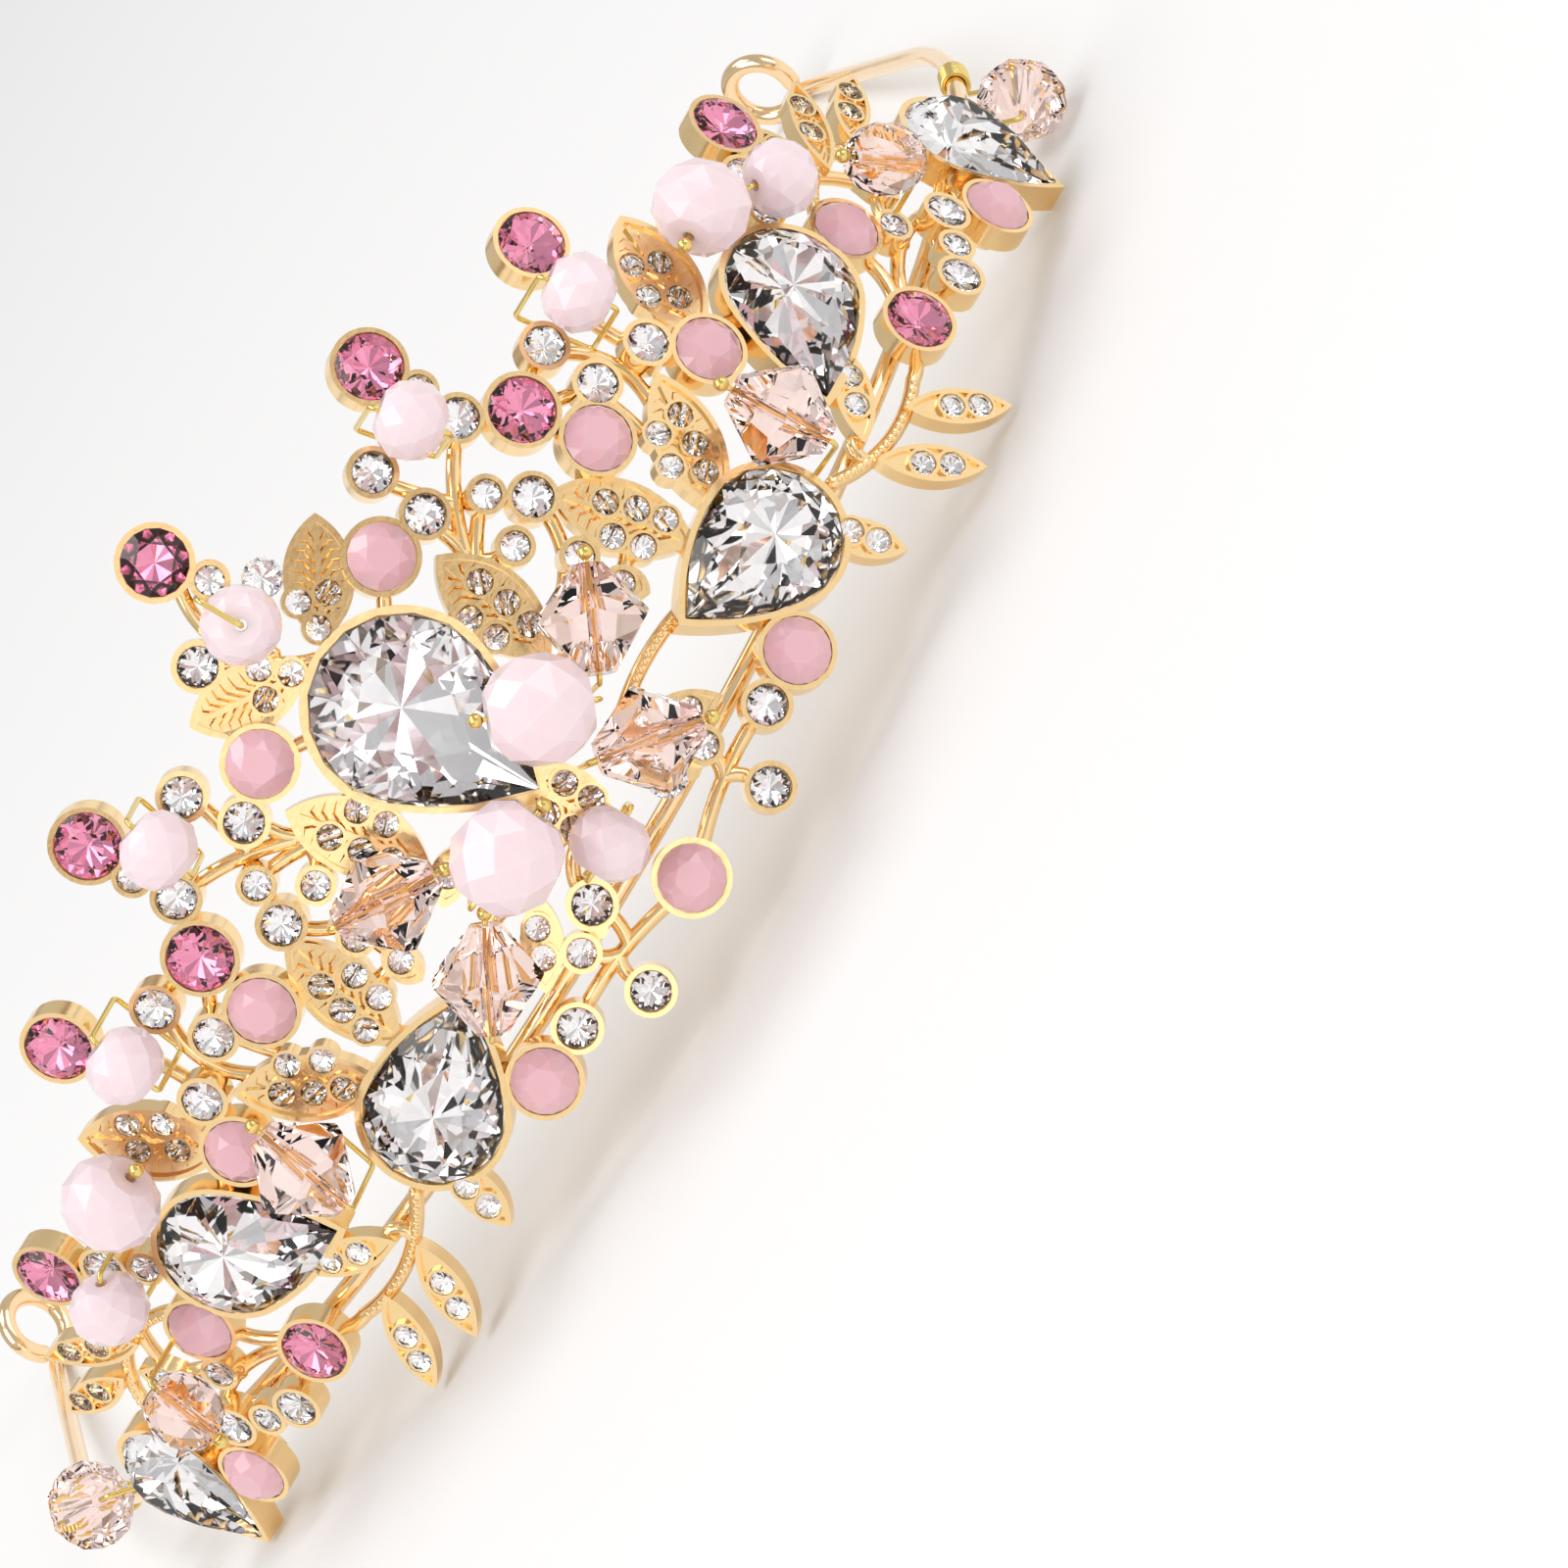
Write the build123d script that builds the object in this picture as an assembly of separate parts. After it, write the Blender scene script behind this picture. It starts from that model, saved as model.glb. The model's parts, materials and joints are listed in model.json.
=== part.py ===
"""Baroque tiara: cast openwork panels with set stones, soldered to a wire head band, with beads
threaded on fine binding wire.

The model is laid out about the centre of the head band, with the band level, the front towards -Y
and X across the head.  A place on the panel is given as an angle round the band from the middle of
the front (degrees, + towards +X) and a height above the band (mm).  At the end everything is turned
and moved so that the tiara rests on a table the way it does when it is put down: on the tips of its
lowest leaves and on the two pin loops.
"""
import os
from math import atan2, cos, degrees, radians, sin, tan

from build123d import *

# Head band
BAND_RADIUS = 63.0        # centre of the band wire, round the front of the head
BAND_WIRE = 1.5           # diameter of the band wire
BAND_FRONT_ANGLE = 77.0   # the front piece of the band ends at this angle on each side
BAND_CURVE_ANGLE = 95.0   # past this angle the arms run straight
ARM_STRAIGHT = 33.0       # straight stretch of each arm
ARM_GAP = 0.16            # gap between the front piece and an arm, where the arm springs
LOOP_RADIUS = 2.7         # pin loop, to the centre of the wire
LOOP_SWEEP = 300.0        # how far round the loop goes
LOOP_TURN = 40.0          # each arm turns inward by this much before its loop
LOOP_BEND = 7.0           # radius of that turn
WRAP_LENGTH = 3.6         # binding wire wrapped round the band at each end of the front piece
WRAP_WIRE = 0.42          # diameter of the wrapped wire

# Panel
LEAN = 7.0                # the panel leans back over the head by this angle
VINE_OUT = 1.35           # the vines' centre line stands this far out from the band's centre line
VINE_WIRE = 1.1           # diameter of a vine
FACE_OUT = 3.2            # the rims of the cups stand this far out
CUP_DEPTH = 1.9           # height of a cup's wall
CUP_WALL = 0.35           # thickness of a cup's wall
BACK_OUT = 0.8            # the backs of the cups stand this far out
FOOT_RADIUS = 0.7         # solder feet between the castings and the band
FOOT_TOP = 1.7            # the feet reach this far out from the band's centre line
LEAF_OUT = 1.0            # back of the leaves
LEAF_THICK = 1.4          # thickness of a leaf
BUD_DEPTH = 0.45          # depth of the bud behind each small stone
LEAF_RIM = 0.3            # height and width of the raised rim of a leaf
MIDRIB_LEAF = 4.0         # leaves wider than this have a midrib
MIDRIB_WIDTH = 0.4
LEAF_CUP_WALL = 0.22      # wall of metal round each stone in a leaf
BUD_TOP = 0.8             # radius of a bud where it meets the leaf
BUD_TIP = 0.4             # radius of a bud's blunt end
SEAT_DEPTH = 0.55         # depth of the seat that a stone's girdle drops into
SEAT_LEDGE = 0.25         # width of the ledge that the girdle rests on
WELL_SHARE = 0.15         # depth of the well below the seat, as a share of the stone's size
BASE_SHARE = 0.13         # depth of the stone's base below its girdle, as a share of its size
STONE_CLEAR = 0.05        # clearance round a set stone

# Stones
STONE_SIZE = {"rose": 4.8, "opal": 4.8, "chaton": 2.9, "small": 2.1, "pave": 1.8}
PEAR_SIZE = {"centre": (13.2, 17.4), "side": (10.0, 14.0), "outer": (10.0, 14.0), "end": (8.0, 12.0)}
PEAR_WALL = 0.45          # bezel wall round a pear stone
PEAR_CROWN = 2.1          # height of a pear stone above its girdle
PEAR_GIRDLE = 0.5         # height of a pear stone's girdle
PEAR_TABLE = 0.5          # flat top of a pear stone, as a share of its size
PEAR_LEDGE = 0.4          # width of the ledge under a pear stone's girdle
PEAR_CLEAR = 0.1          # clearance between a pear stone's back and its well
PEAR_BACK = 0.8           # depth of a pear stone's back below its girdle
PEAR_BACK_SHARE = 0.6     # flat end of that back, as a share of its size
WELL_FLOOR = 0.6          # metal left behind a pear stone's well
WINDOW_SHARE = 0.62       # window behind a pear stone, as a share of its size
PEAR_SHOULDER = 12.0      # a pear's round end runs this many degrees past half a circle on each side
PEAR_BULGE = 0.07         # outward bow of a pear's sides, as a share of their length

# Beads and their wire
BEAD_BORE = 0.9
BEAD_WIRE = 0.4
WIRE_BACK = 0.32          # the wires fold together behind the panel at this height
BEAD_GAP = 0.45           # wire showing past each end of a bead before it bends
WIRE_BEND = 0.5           # radius of the wire's bends, to its centre line
WIRE_FOOT = 0.4           # the folded ends of a wire stop this far short of its middle
END_BALL = 0.55           # radius of the ball that ends a wire with one leg
BALL_GAP = 0.25           # gap between that ball and its bead
BEAD_SIZE = {             # diameter across the bore, length along the bore
    "milky": (5.7, 4.6), "milky_large": (7.1, 5.8), "milky_bicone": (7.8, 7.2),
    "bicone": (7.8, 7.6), "end_bicone": (6.6, 6.4), "clear_round": (5.4, 5.2)}
BEAD_FLAT = {             # diameter of the end faces, as a share of the bead's
    "milky": 0.55, "milky_large": 0.55, "milky_bicone": 0.42,
    "bicone": 0.3, "end_bicone": 0.3, "clear_round": 0.6}
BEAD_BELT = {             # length of the straight belt, as a share of the bead's
    "milky": 0.4, "milky_large": 0.4, "milky_bicone": 0.22,
    "bicone": 0.08, "end_bicone": 0.08, "clear_round": 0.45}


def station(angle, height, out=0.0, turn=0.0):
    """A location on the leaning panel: x along the band, y up the panel, z outwards."""
    a, lean = radians(angle), radians(LEAN)
    radial = Vector(sin(a), -cos(a), 0)
    distance = BAND_RADIUS + out * cos(lean) - height * tan(lean)
    origin = radial * distance + Vector(0, 0, height + out * sin(lean))
    normal = radial * cos(lean) + Vector(0, 0, sin(lean))
    place = Location(Plane(origin=origin, x_dir=(cos(a), sin(a), 0), z_dir=normal))
    return place * Rot(0, 0, turn)


def spot(angle, height, out=0.0):
    """The point at a place on the panel."""
    return station(angle, height, out).position


def mirrored(shape):
    """The same piece on the other side of the head."""
    return mirror(shape, about=Plane.YZ)


# Castings: cups, bezels, leaves and vines

def cup(kind, angle, height):
    """A round cup with a domed back, before its seat is cut."""
    radius = STONE_SIZE[kind] / 2 + STONE_CLEAR + CUP_WALL
    wall = Pos(0, 0, -CUP_DEPTH / 2) * Cylinder(radius, CUP_DEPTH)
    dome_depth = min(radius, FACE_OUT - CUP_DEPTH - BACK_OUT)
    dome = Pos(0, 0, -CUP_DEPTH - dome_depth / 2) * Cone(0.6 * radius, radius, dome_depth)
    return station(angle, height, FACE_OUT) * (wall + dome)


def seat(kind, place):
    """The space for a round stone: a shallow seat and a narrower well below it."""
    radius = STONE_SIZE[kind] / 2
    top = Pos(0, 0, 0.5 - SEAT_DEPTH / 2) * Cylinder(radius + STONE_CLEAR, SEAT_DEPTH + 1)
    well_depth = SEAT_DEPTH + WELL_SHARE * STONE_SIZE[kind]
    well = Pos(0, 0, -well_depth / 2) * Cylinder(radius - SEAT_LEDGE, well_depth)
    return place * (top + well)


def round_stone(kind, place):
    """A set round stone: girdle on the ledge, cut crown above it, blunt cone below."""
    size = STONE_SIZE[kind]
    girdle = Pos(0, 0, -SEAT_DEPTH / 2) * Cylinder(size / 2, SEAT_DEPTH)
    crown = Pos(0, 0, 0.09 * size) * Cone(size / 2, 0.3 * size, 0.18 * size)
    depth = BASE_SHARE * size
    base = Pos(0, 0, -SEAT_DEPTH - depth / 2) * Cone(0.2 * size, size / 2 - SEAT_LEDGE - STONE_CLEAR, depth)
    return place * (girdle + crown + base)


def pear_face(size, grow=0.0, shrink=1.0):
    """A teardrop outline about the middle of its round end, with its point towards -y."""
    width, length = size
    radius = (width / 2 + grow) * shrink
    point = (0, -(length - width / 2 + 1.5 * grow) * shrink)
    drop = radians(PEAR_SHOULDER)
    left = (-radius * cos(drop), -radius * sin(drop))
    right = (radius * cos(drop), -radius * sin(drop))
    run = ((point[0] - right[0]) ** 2 + (point[1] - right[1]) ** 2) ** 0.5
    across, along = (point[1] - right[1]) / run, (right[0] - point[0]) / run
    bow = PEAR_BULGE * run
    middle_right = ((right[0] + point[0]) / 2 - across * bow, (right[1] + point[1]) / 2 - along * bow)
    middle_left = (-middle_right[0], middle_right[1])
    outline = [ThreePointArc(left, (0, radius), right), ThreePointArc(right, middle_right, point),
               ThreePointArc(point, middle_left, left)]
    return make_face(outline)


def pear_place(name):
    """Where a pear stone's rim lies: the middle of its round end, turned to point its tip."""
    angle, height, turn = PEAR_AT[name]
    return station(angle, height, FACE_OUT, turn)


def bezel(name):
    """The setting round a pear stone before its seat is cut, with a teardrop window at the back."""
    size = PEAR_SIZE[name]
    depth = FACE_OUT - LEAF_OUT
    body = extrude(pear_face(size, STONE_CLEAR + PEAR_WALL), -depth)
    window = extrude(pear_face(size, -PEAR_LEDGE, WINDOW_SHARE), -depth - 1)
    return pear_place(name) * (body - window)


def bezel_spaces(name):
    """The spaces for a pear stone: a seat for its girdle and a well for its back."""
    size, place = PEAR_SIZE[name], pear_place(name)
    girdle_space = extrude(Pos(0, 0, 1) * pear_face(size, STONE_CLEAR), -PEAR_GIRDLE - 1)
    well = extrude(pear_face(size, -PEAR_LEDGE), LEAF_OUT + WELL_FLOOR - FACE_OUT)
    return [place * girdle_space, place * well]


def pear_stone(name):
    """A cut pear stone: girdle on the bezel's ledge, crown above, shallow back below."""
    size = PEAR_SIZE[name]
    girdle = extrude(pear_face(size), -PEAR_GIRDLE)
    crown = loft([pear_face(size), Pos(0, 0, PEAR_CROWN) * pear_face(size, 0, PEAR_TABLE)], ruled=True)
    inset = -PEAR_LEDGE - PEAR_CLEAR
    back_top = Pos(0, 0, -PEAR_GIRDLE) * pear_face(size, inset)
    back_low = Pos(0, 0, -PEAR_GIRDLE - PEAR_BACK) * pear_face(size, inset, PEAR_BACK_SHARE)
    return pear_place(name) * (girdle + crown + loft([back_top, back_low], ruled=True))


def leaf_place(base, tip):
    """A leaf's own location: x from its base to its tip, z outwards, at the back of the leaf."""
    middle = station((base[0] + tip[0]) / 2, (base[1] + tip[1]) / 2, LEAF_OUT)
    start = middle.inverse() * Pos(spot(*base, LEAF_OUT))
    end = middle.inverse() * Pos(spot(*tip, LEAF_OUT))
    run = end.position - start.position
    return middle * Rot(0, 0, degrees(atan2(run.Y, run.X))), (run.X ** 2 + run.Y ** 2) ** 0.5


def leaf_face(length, width):
    """A pointed leaf outline between (-length/2, 0) and (length/2, 0)."""
    start, end = (-length / 2, 0), (length / 2, 0)
    return make_face([ThreePointArc(start, (-0.05 * length, width / 2), end),
                      ThreePointArc(end, (-0.05 * length, -width / 2), start)])


def leaf_stones(base, tip, stones):
    """The rim locations of a leaf's stones."""
    place, _ = leaf_place(base, tip)
    found = []
    for angle, height in stones:
        local = (place.inverse() * Pos(spot(angle, height, LEAF_OUT))).position
        found.append(place * Pos(local.X, local.Y, LEAF_THICK))
    return found


def leaf(base, tip, width, stones):
    """A leaf plate with a raised rim and midrib, and a bud behind each stone."""
    place, length = leaf_place(base, tip)
    plate = extrude(leaf_face(length, width), LEAF_THICK)
    inner = leaf_face(length - 4 * LEAF_RIM, width - 2.4 * LEAF_RIM)
    body = place * (plate - Pos(0, 0, LEAF_THICK - LEAF_RIM) * extrude(inner, 2))
    if width > MIDRIB_LEAF:
        body += place * (Pos(0, 0, LEAF_THICK - LEAF_RIM) * Box(length - 2, MIDRIB_WIDTH, 2 * LEAF_RIM))
    wall = Cylinder(STONE_SIZE["pave"] / 2 + STONE_CLEAR + LEAF_CUP_WALL, LEAF_THICK)
    bud = Cone(BUD_TIP, BUD_TOP, BUD_DEPTH)
    for rim in leaf_stones(base, tip, stones):
        body += rim * Pos(0, 0, -LEAF_THICK / 2) * wall
        body += rim * Pos(0, 0, -LEAF_THICK - BUD_DEPTH / 2) * bud
    return body


def vine(start, middle, end, wire=VINE_WIRE, out=VINE_OUT):
    """A round stem through three places on the panel, with ball ends."""
    points = [spot(*place, out) for place in (start, middle, end)]
    path = ThreePointArc(*points)
    stem = sweep(Plane(origin=points[0], z_dir=path % 0) * Circle(wire / 2), path=path)
    return stem + Pos(points[0]) * Sphere(wire / 2) + Pos(points[2]) * Sphere(wire / 2)


def foot(angle):
    """A solder foot that joins a casting to the band, saddled on the wire."""
    post = station(angle, 0) * Pos(0, 0, FOOT_TOP / 2) * Cylinder(FOOT_RADIUS, FOOT_TOP)
    return post - Torus(BAND_RADIUS, BAND_WIRE / 2)


# Places of the pears: angle, height, turn of the point from straight down
PEAR_AT = {
    "centre": (0, 19.2, 0), "side": (20.7, 2.6, -109), "outer": (37.0, 8.6, -55), "end": (57.6, 1.0, 0)}

CENTRE_CUPS = [("rose", 0, 38.7), ("small", 0.8, 34.9), ("chaton", -4.3, 32.6), ("chaton", 2.6, 31.9),
               ("opal", 0, -3.6)]
CENTRE_PAIRS = [("opal", 7.5, 25.6), ("chaton", 11.2, 24.4), ("chaton", 4.4, 1.3), ("small", 7.2, 0.2),
                ("chaton", 7.0, -5.2), ("chaton", 11.2, -2.3), ("opal", 15.0, -2.4)]
CENTRE_VINES = [((-0.4, 36.6), (-2.2, 33.0), (0, 25.8)), ((-4.3, 32.6), (-3.0, 30.4), (-1.2, 28.6)),
                ((2.6, 31.9), (2.2, 30.0), (2.4, 27.4)), ((0.8, 34.9), (0.3, 36.0), (0, 37.2))]
CENTRE_VINE_PAIRS = [((4.6, 23.4), (6.0, 24.4), (7.5, 25.6)), ((11.0, 23.2), (10.6, 21.0), (9.6, 19.6)),
                     ((1.6, -3.4), (5.6, -2.3), (9.8, -2.1)), ((6.4, -2.3), (7.0, -3.2), (7.0, -4.4)),
                     ((4.4, 1.0), (4.6, -0.8), (5.4, -2.3)), ((7.2, 0.2), (7.0, -1.2), (6.2, -2.2)),
                     ((11.2, -2.3), (13.0, -2.2), (14.6, -2.4)), ((1.6, 4.2), (3.2, 3.6), (4.4, 1.8)),
                     ((1.6, 5.2), (3.8, 5.4), (6.4, 4.4)), ((1.2, 7.6), (3.4, 9.8), (6.2, 11.0))]
CENTRE_LEAVES = [((0, 10.2), (0, 2.6), 5.2, [(-1.1, 7.1), (1.1, 7.1), (-1.1, 5.0), (1.1, 5.0)])]
CENTRE_LEAF_PAIRS = [((1.0, 26.2), (8.0, 31.0), 4.9, [(3.9, 27.5), (2.4, 29.0), (1.6, 26.9)]),
                     ((7.4, 12.2), (9.4, 22.4), 5.4, [(9.3, 18.9), (9.0, 16.6), (8.5, 14.5), (6.9, 18.3),
                                                     (6.7, 16.1)]),
                     ((5.8, 11.4), (9.4, 9.8), 2.6, [(7.5, 10.7)]),
                     ((5.6, 4.8), (10.6, 0.7), 3.0, [(7.4, 3.6), (8.8, 2.2)])]

SIDE_CUPS = [("chaton", 11.9, 28.9), ("rose", 17.9, 32.5), ("small", 18.1, 28.8), ("chaton", 17.7, 25.5),
             ("rose", 20.2, 21.9), ("chaton", 24.8, 22.5), ("chaton", 24.2, 18.1), ("opal", 20.9, 16.4),
             ("small", 14.2, 21.4), ("chaton", 15.5, 18.5), ("small", 12.2, 18.0), ("small", 13.6, 13.8)]
SIDE_VINES = [((10.75, 20.8), (13.4, 23.1), (17.7, 25.2)), ((10.2, 19.5), (12.0, 20.6), (14.2, 21.4)),
              ((11.9, 28.9), (12.3, 26.2), (13.0, 23.2)), ((12.2, 18.0), (11.2, 18.7), (10.6, 19.8)),
              ((9.2, 13.4), (13.2, 14.4), (15.5, 17.4)), ((13.6, 13.8), (13.6, 12.4), (13.7, 11.2)),
              ((17.7, 25.5), (18.5, 24.0), (19.6, 22.4)), ((18.1, 28.8), (18.2, 27.2), (17.7, 25.9)),
              ((21.4, 20.9), (22.8, 19.8), (24.2, 18.4)), ((21.6, 22.0), (23.0, 22.4), (24.4, 22.5)),
              ((24.8, 22.2), (26.5, 19.4), (25.4, 14.0)), ((24.2, 18.0), (23.9, 15.8), (23.2, 13.4)),
              ((17.9, 32.5), (18.1, 30.6), (18.1, 29.2)), ((15.5, 18.5), (14.9, 20.0), (14.4, 21.0)),
              ((14.0, 5.9), (10.8, 6.4), (6.6, 6.0)), ((13.8, 10.6), (15.4, 10.8), (16.6, 11.4))]
SIDE_LEAVES = [((18.2, 7.2), (16.6, 17.6), 5.2, [(17.7, 13.9), (18.3, 11.8), (18.6, 9.7), (15.9, 12.4),
                                               (16.3, 10.2)]),
               ((20.6, 6.6), (27.2, 14.8), 5.0, [(25.3, 12.0), (24.0, 10.2), (22.6, 8.7), (23.4, 12.8),
                                                (21.8, 11.0)]),
               ((13.6, 11.8), (13.9, 8.3), 2.5, [(13.6, 10.3)]),
               ((23.0, 0.0), (24.3, -6.2), 2.9, [(23.7, -2.1), (24.0, -4.1)])]

OUTER_CUPS = [("opal", 30.0, 12.2), ("chaton", 28.4, 16.2), ("rose", 31.0, 26.4), ("rose", 47.6, 17.2),
              ("small", 41.9, 12.3), ("chaton", 44.0, 14.6), ("opal", 43.6, 6.6), ("rose", 39.4, -0.5)]
OUTER_VINES = [((31.0, 24.8), (29.2, 21.6), (28.6, 17.4)), ((47.0, 16.2), (45.6, 15.6), (44.0, 14.6)),
               ((44.0, 14.6), (43.2, 13.2), (42.0, 12.3)), ((42.0, 12.3), (41.0, 12.0), (40.4, 11.4)),
               ((43.6, 6.6), (42.4, 7.2), (41.0, 7.6)), ((26.4, 0.4), (30.6, -1.9), (36.0, -1.9)),
               ((36.0, -1.9), (37.6, -1.6), (38.6, -0.9)), ((43.6, 5.2), (42.6, 2.6), (40.6, 1.0)),
               ((28.4, 16.2), (29.0, 15.0), (29.6, 13.8)), ((30.4, 12.6), (32.0, 12.2), (33.6, 11.6)),
               ((29.2, -1.5), (29.0, -0.4), (29.8, 0.3)), ((31.6, 13.2), (32.8, 12.2), (33.8, 11.2))]
OUTER_LEAVES = [((31.0, 13.0), (36.6, 21.6), 5.8, [(33.5, 19.4), (31.9, 17.5), (32.9, 15.5), (34.7, 17.7)]),
                ((29.4, -0.4), (35.3, 3.6), 2.9, [(31.8, 1.2), (33.5, 2.4)]),
                ((28.9, -1.6), (32.1, -8.9), 2.9, [(30.2, -4.7), (31.1, -6.6)]),
                ((33.2, -1.9), (37.1, -8.9), 2.9, [(35.0, -5.0), (36.0, -6.8)])]

END_CUPS = [("small", 45.9, 3.5), ("opal", 52.2, -3.2), ("chaton", 49.4, 0.2), ("small", 46.8, -1.2),
            ("chaton", 44.4, -2.2)]
END_VINES = [((44.8, 8.4), (49.4, 9.7), (53.6, 7.6)), ((53.6, 7.6), (54.9, 6.0), (55.4, 4.0)),
             ((41.2, 0.4), (46.0, 2.3), (50.8, 1.0)), ((50.8, 1.0), (52.4, 0.7), (54.6, 0.9)),
             ((52.2, -3.2), (52.8, -1.4), (54.6, 0.0)), ((45.9, 3.5), (46.1, 2.9), (46.4, 2.2)),
             ((49.4, 0.2), (48.2, 0.0), (46.8, -1.2)), ((46.8, -1.2), (45.8, -1.4), (44.4, -2.2)),
             ((47.6, 13.9), (47.4, 11.8), (47.2, 9.6)), ((50.2, 6.2), (49.6, 8.0), (48.8, 9.4)),
             ((46.4, 2.2), (48.0, 4.2), (49.6, 5.0))]
END_LEAVES = [((48.6, 9.0), (56.4, 13.4), 3.0, [(51.8, 11.1), (54.1, 12.3)]),
              ((52.6, 8.2), (60.5, 9.2), 2.9, [(56.0, 8.8), (58.4, 9.1)]),
              ((47.4, 10.8), (49.6, 14.8), 2.5, [(48.8, 13.0)]),
              ((49.2, 3.6), (51.4, 7.8), 2.5, [(50.4, 6.2)])]


def reflected(item):
    """A place, a cup, a vine or a leaf with its angles turned to the other side."""
    if isinstance(item, (int, float)):
        return item
    if isinstance(item[0], str):
        return (item[0], -item[1], item[2])
    if isinstance(item[0], (int, float)):
        return (-item[0], item[1])
    return [reflected(place) for place in item]


def casting(cups, vines, leaves, bezels, feet, taken=None):
    """One casting: everything joined, then the stones' spaces and the casting beside it cut from it."""
    body = Part() + [cup(*item) for item in cups] + [vine(*item) for item in vines]
    body += [leaf(*item) for item in leaves]
    body += [bezel(name) for name in bezels] + [foot(angle) for angle in feet]
    spaces = [seat(kind, station(angle, height, FACE_OUT)) for kind, angle, height in cups]
    for base, tip, _, stones in leaves:
        spaces += [seat("pave", rim) for rim in leaf_stones(base, tip, stones)]
    for name in bezels:
        spaces += bezel_spaces(name)
    for space in spaces:
        body -= space
    if taken is not None:
        body -= taken
    return body


def round_stones(kinds, cups):
    """The round stones of the given kinds in a set of cups."""
    chosen = [cup_at for cup_at in cups if cup_at[0] in kinds]
    return [round_stone(kind, station(angle, height, FACE_OUT)) for kind, angle, height in chosen]


def leaf_set(leaves):
    """The small stones set in a set of leaves."""
    rims = [rim for base, tip, _, stones in leaves for rim in leaf_stones(base, tip, stones)]
    return [round_stone("pave", rim) for rim in rims]


def both(items):
    """Items on the right and their copies on the left."""
    return list(items) + [reflected(item) for item in items]


# Head band

def band_point(angle):
    """A point on the middle of the band wire."""
    return Vector(BAND_RADIUS * sin(radians(angle)), -BAND_RADIUS * cos(radians(angle)), 0)


def band_heading(angle):
    """The band's direction at an angle, away from the front."""
    return Vector(cos(radians(angle)), sin(radians(angle)), 0)


def band_front():
    """The part of the band that the castings are soldered to."""
    start, end = band_point(-BAND_FRONT_ANGLE), band_point(BAND_FRONT_ANGLE)
    path = ThreePointArc(start, band_point(0), end)
    return sweep(Plane(origin=start, z_dir=path % 0) * Circle(BAND_WIRE / 2), path=path)


def band_arm():
    """The right arm: the end of the round, a straight run, a turn inward and the upright pin loop."""
    gap_angle = degrees(ARM_GAP / BAND_RADIUS)
    start = band_point(BAND_FRONT_ANGLE + gap_angle)
    middle = band_point((BAND_FRONT_ANGLE + gap_angle + BAND_CURVE_ANGLE) / 2)
    bend_start = band_point(BAND_CURVE_ANGLE)
    heading = band_heading(BAND_CURVE_ANGLE)
    turn_start = bend_start + heading * ARM_STRAIGHT
    inward = Vector(-heading.Y, heading.X, 0)
    centre = turn_start + inward * LOOP_BEND

    def on_turn(angle):
        return centre - inward * LOOP_BEND * cos(radians(angle)) + heading * LOOP_BEND * sin(radians(angle))

    loop_start = on_turn(LOOP_TURN)
    ahead = heading * cos(radians(LOOP_TURN)) + inward * sin(radians(LOOP_TURN))

    def on_loop(angle):
        rise = LOOP_RADIUS * (1 - cos(radians(angle)))
        return loop_start + ahead * LOOP_RADIUS * sin(radians(angle)) + Vector(0, 0, rise)

    path = Wire([ThreePointArc(start, middle, bend_start), Line(bend_start, turn_start),
                 ThreePointArc(turn_start, on_turn(LOOP_TURN / 2), loop_start),
                 ThreePointArc(loop_start, on_loop(LOOP_SWEEP / 4), on_loop(LOOP_SWEEP / 2)),
                 ThreePointArc(on_loop(LOOP_SWEEP / 2), on_loop(LOOP_SWEEP * 3 / 4), on_loop(LOOP_SWEEP))])
    arm = sweep(Plane(origin=start, z_dir=path % 0) * Circle(BAND_WIRE / 2), path=path)
    return arm + Pos(on_loop(LOOP_SWEEP)) * Sphere(BAND_WIRE / 2)


def binding_wrap():
    """Turns of fine wire wrapped side by side round the right end of the front piece."""
    turns = int(WRAP_LENGTH / WRAP_WIRE)
    rings = []
    for turn in range(turns):
        angle = BAND_FRONT_ANGLE - degrees((turn + 0.6) * WRAP_WIRE / BAND_RADIUS)
        ring = Torus((BAND_WIRE + WRAP_WIRE) / 2, WRAP_WIRE / 2)
        rings.append(Location(Plane(origin=band_point(angle), z_dir=band_heading(angle))) * ring)
    return rings


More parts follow.
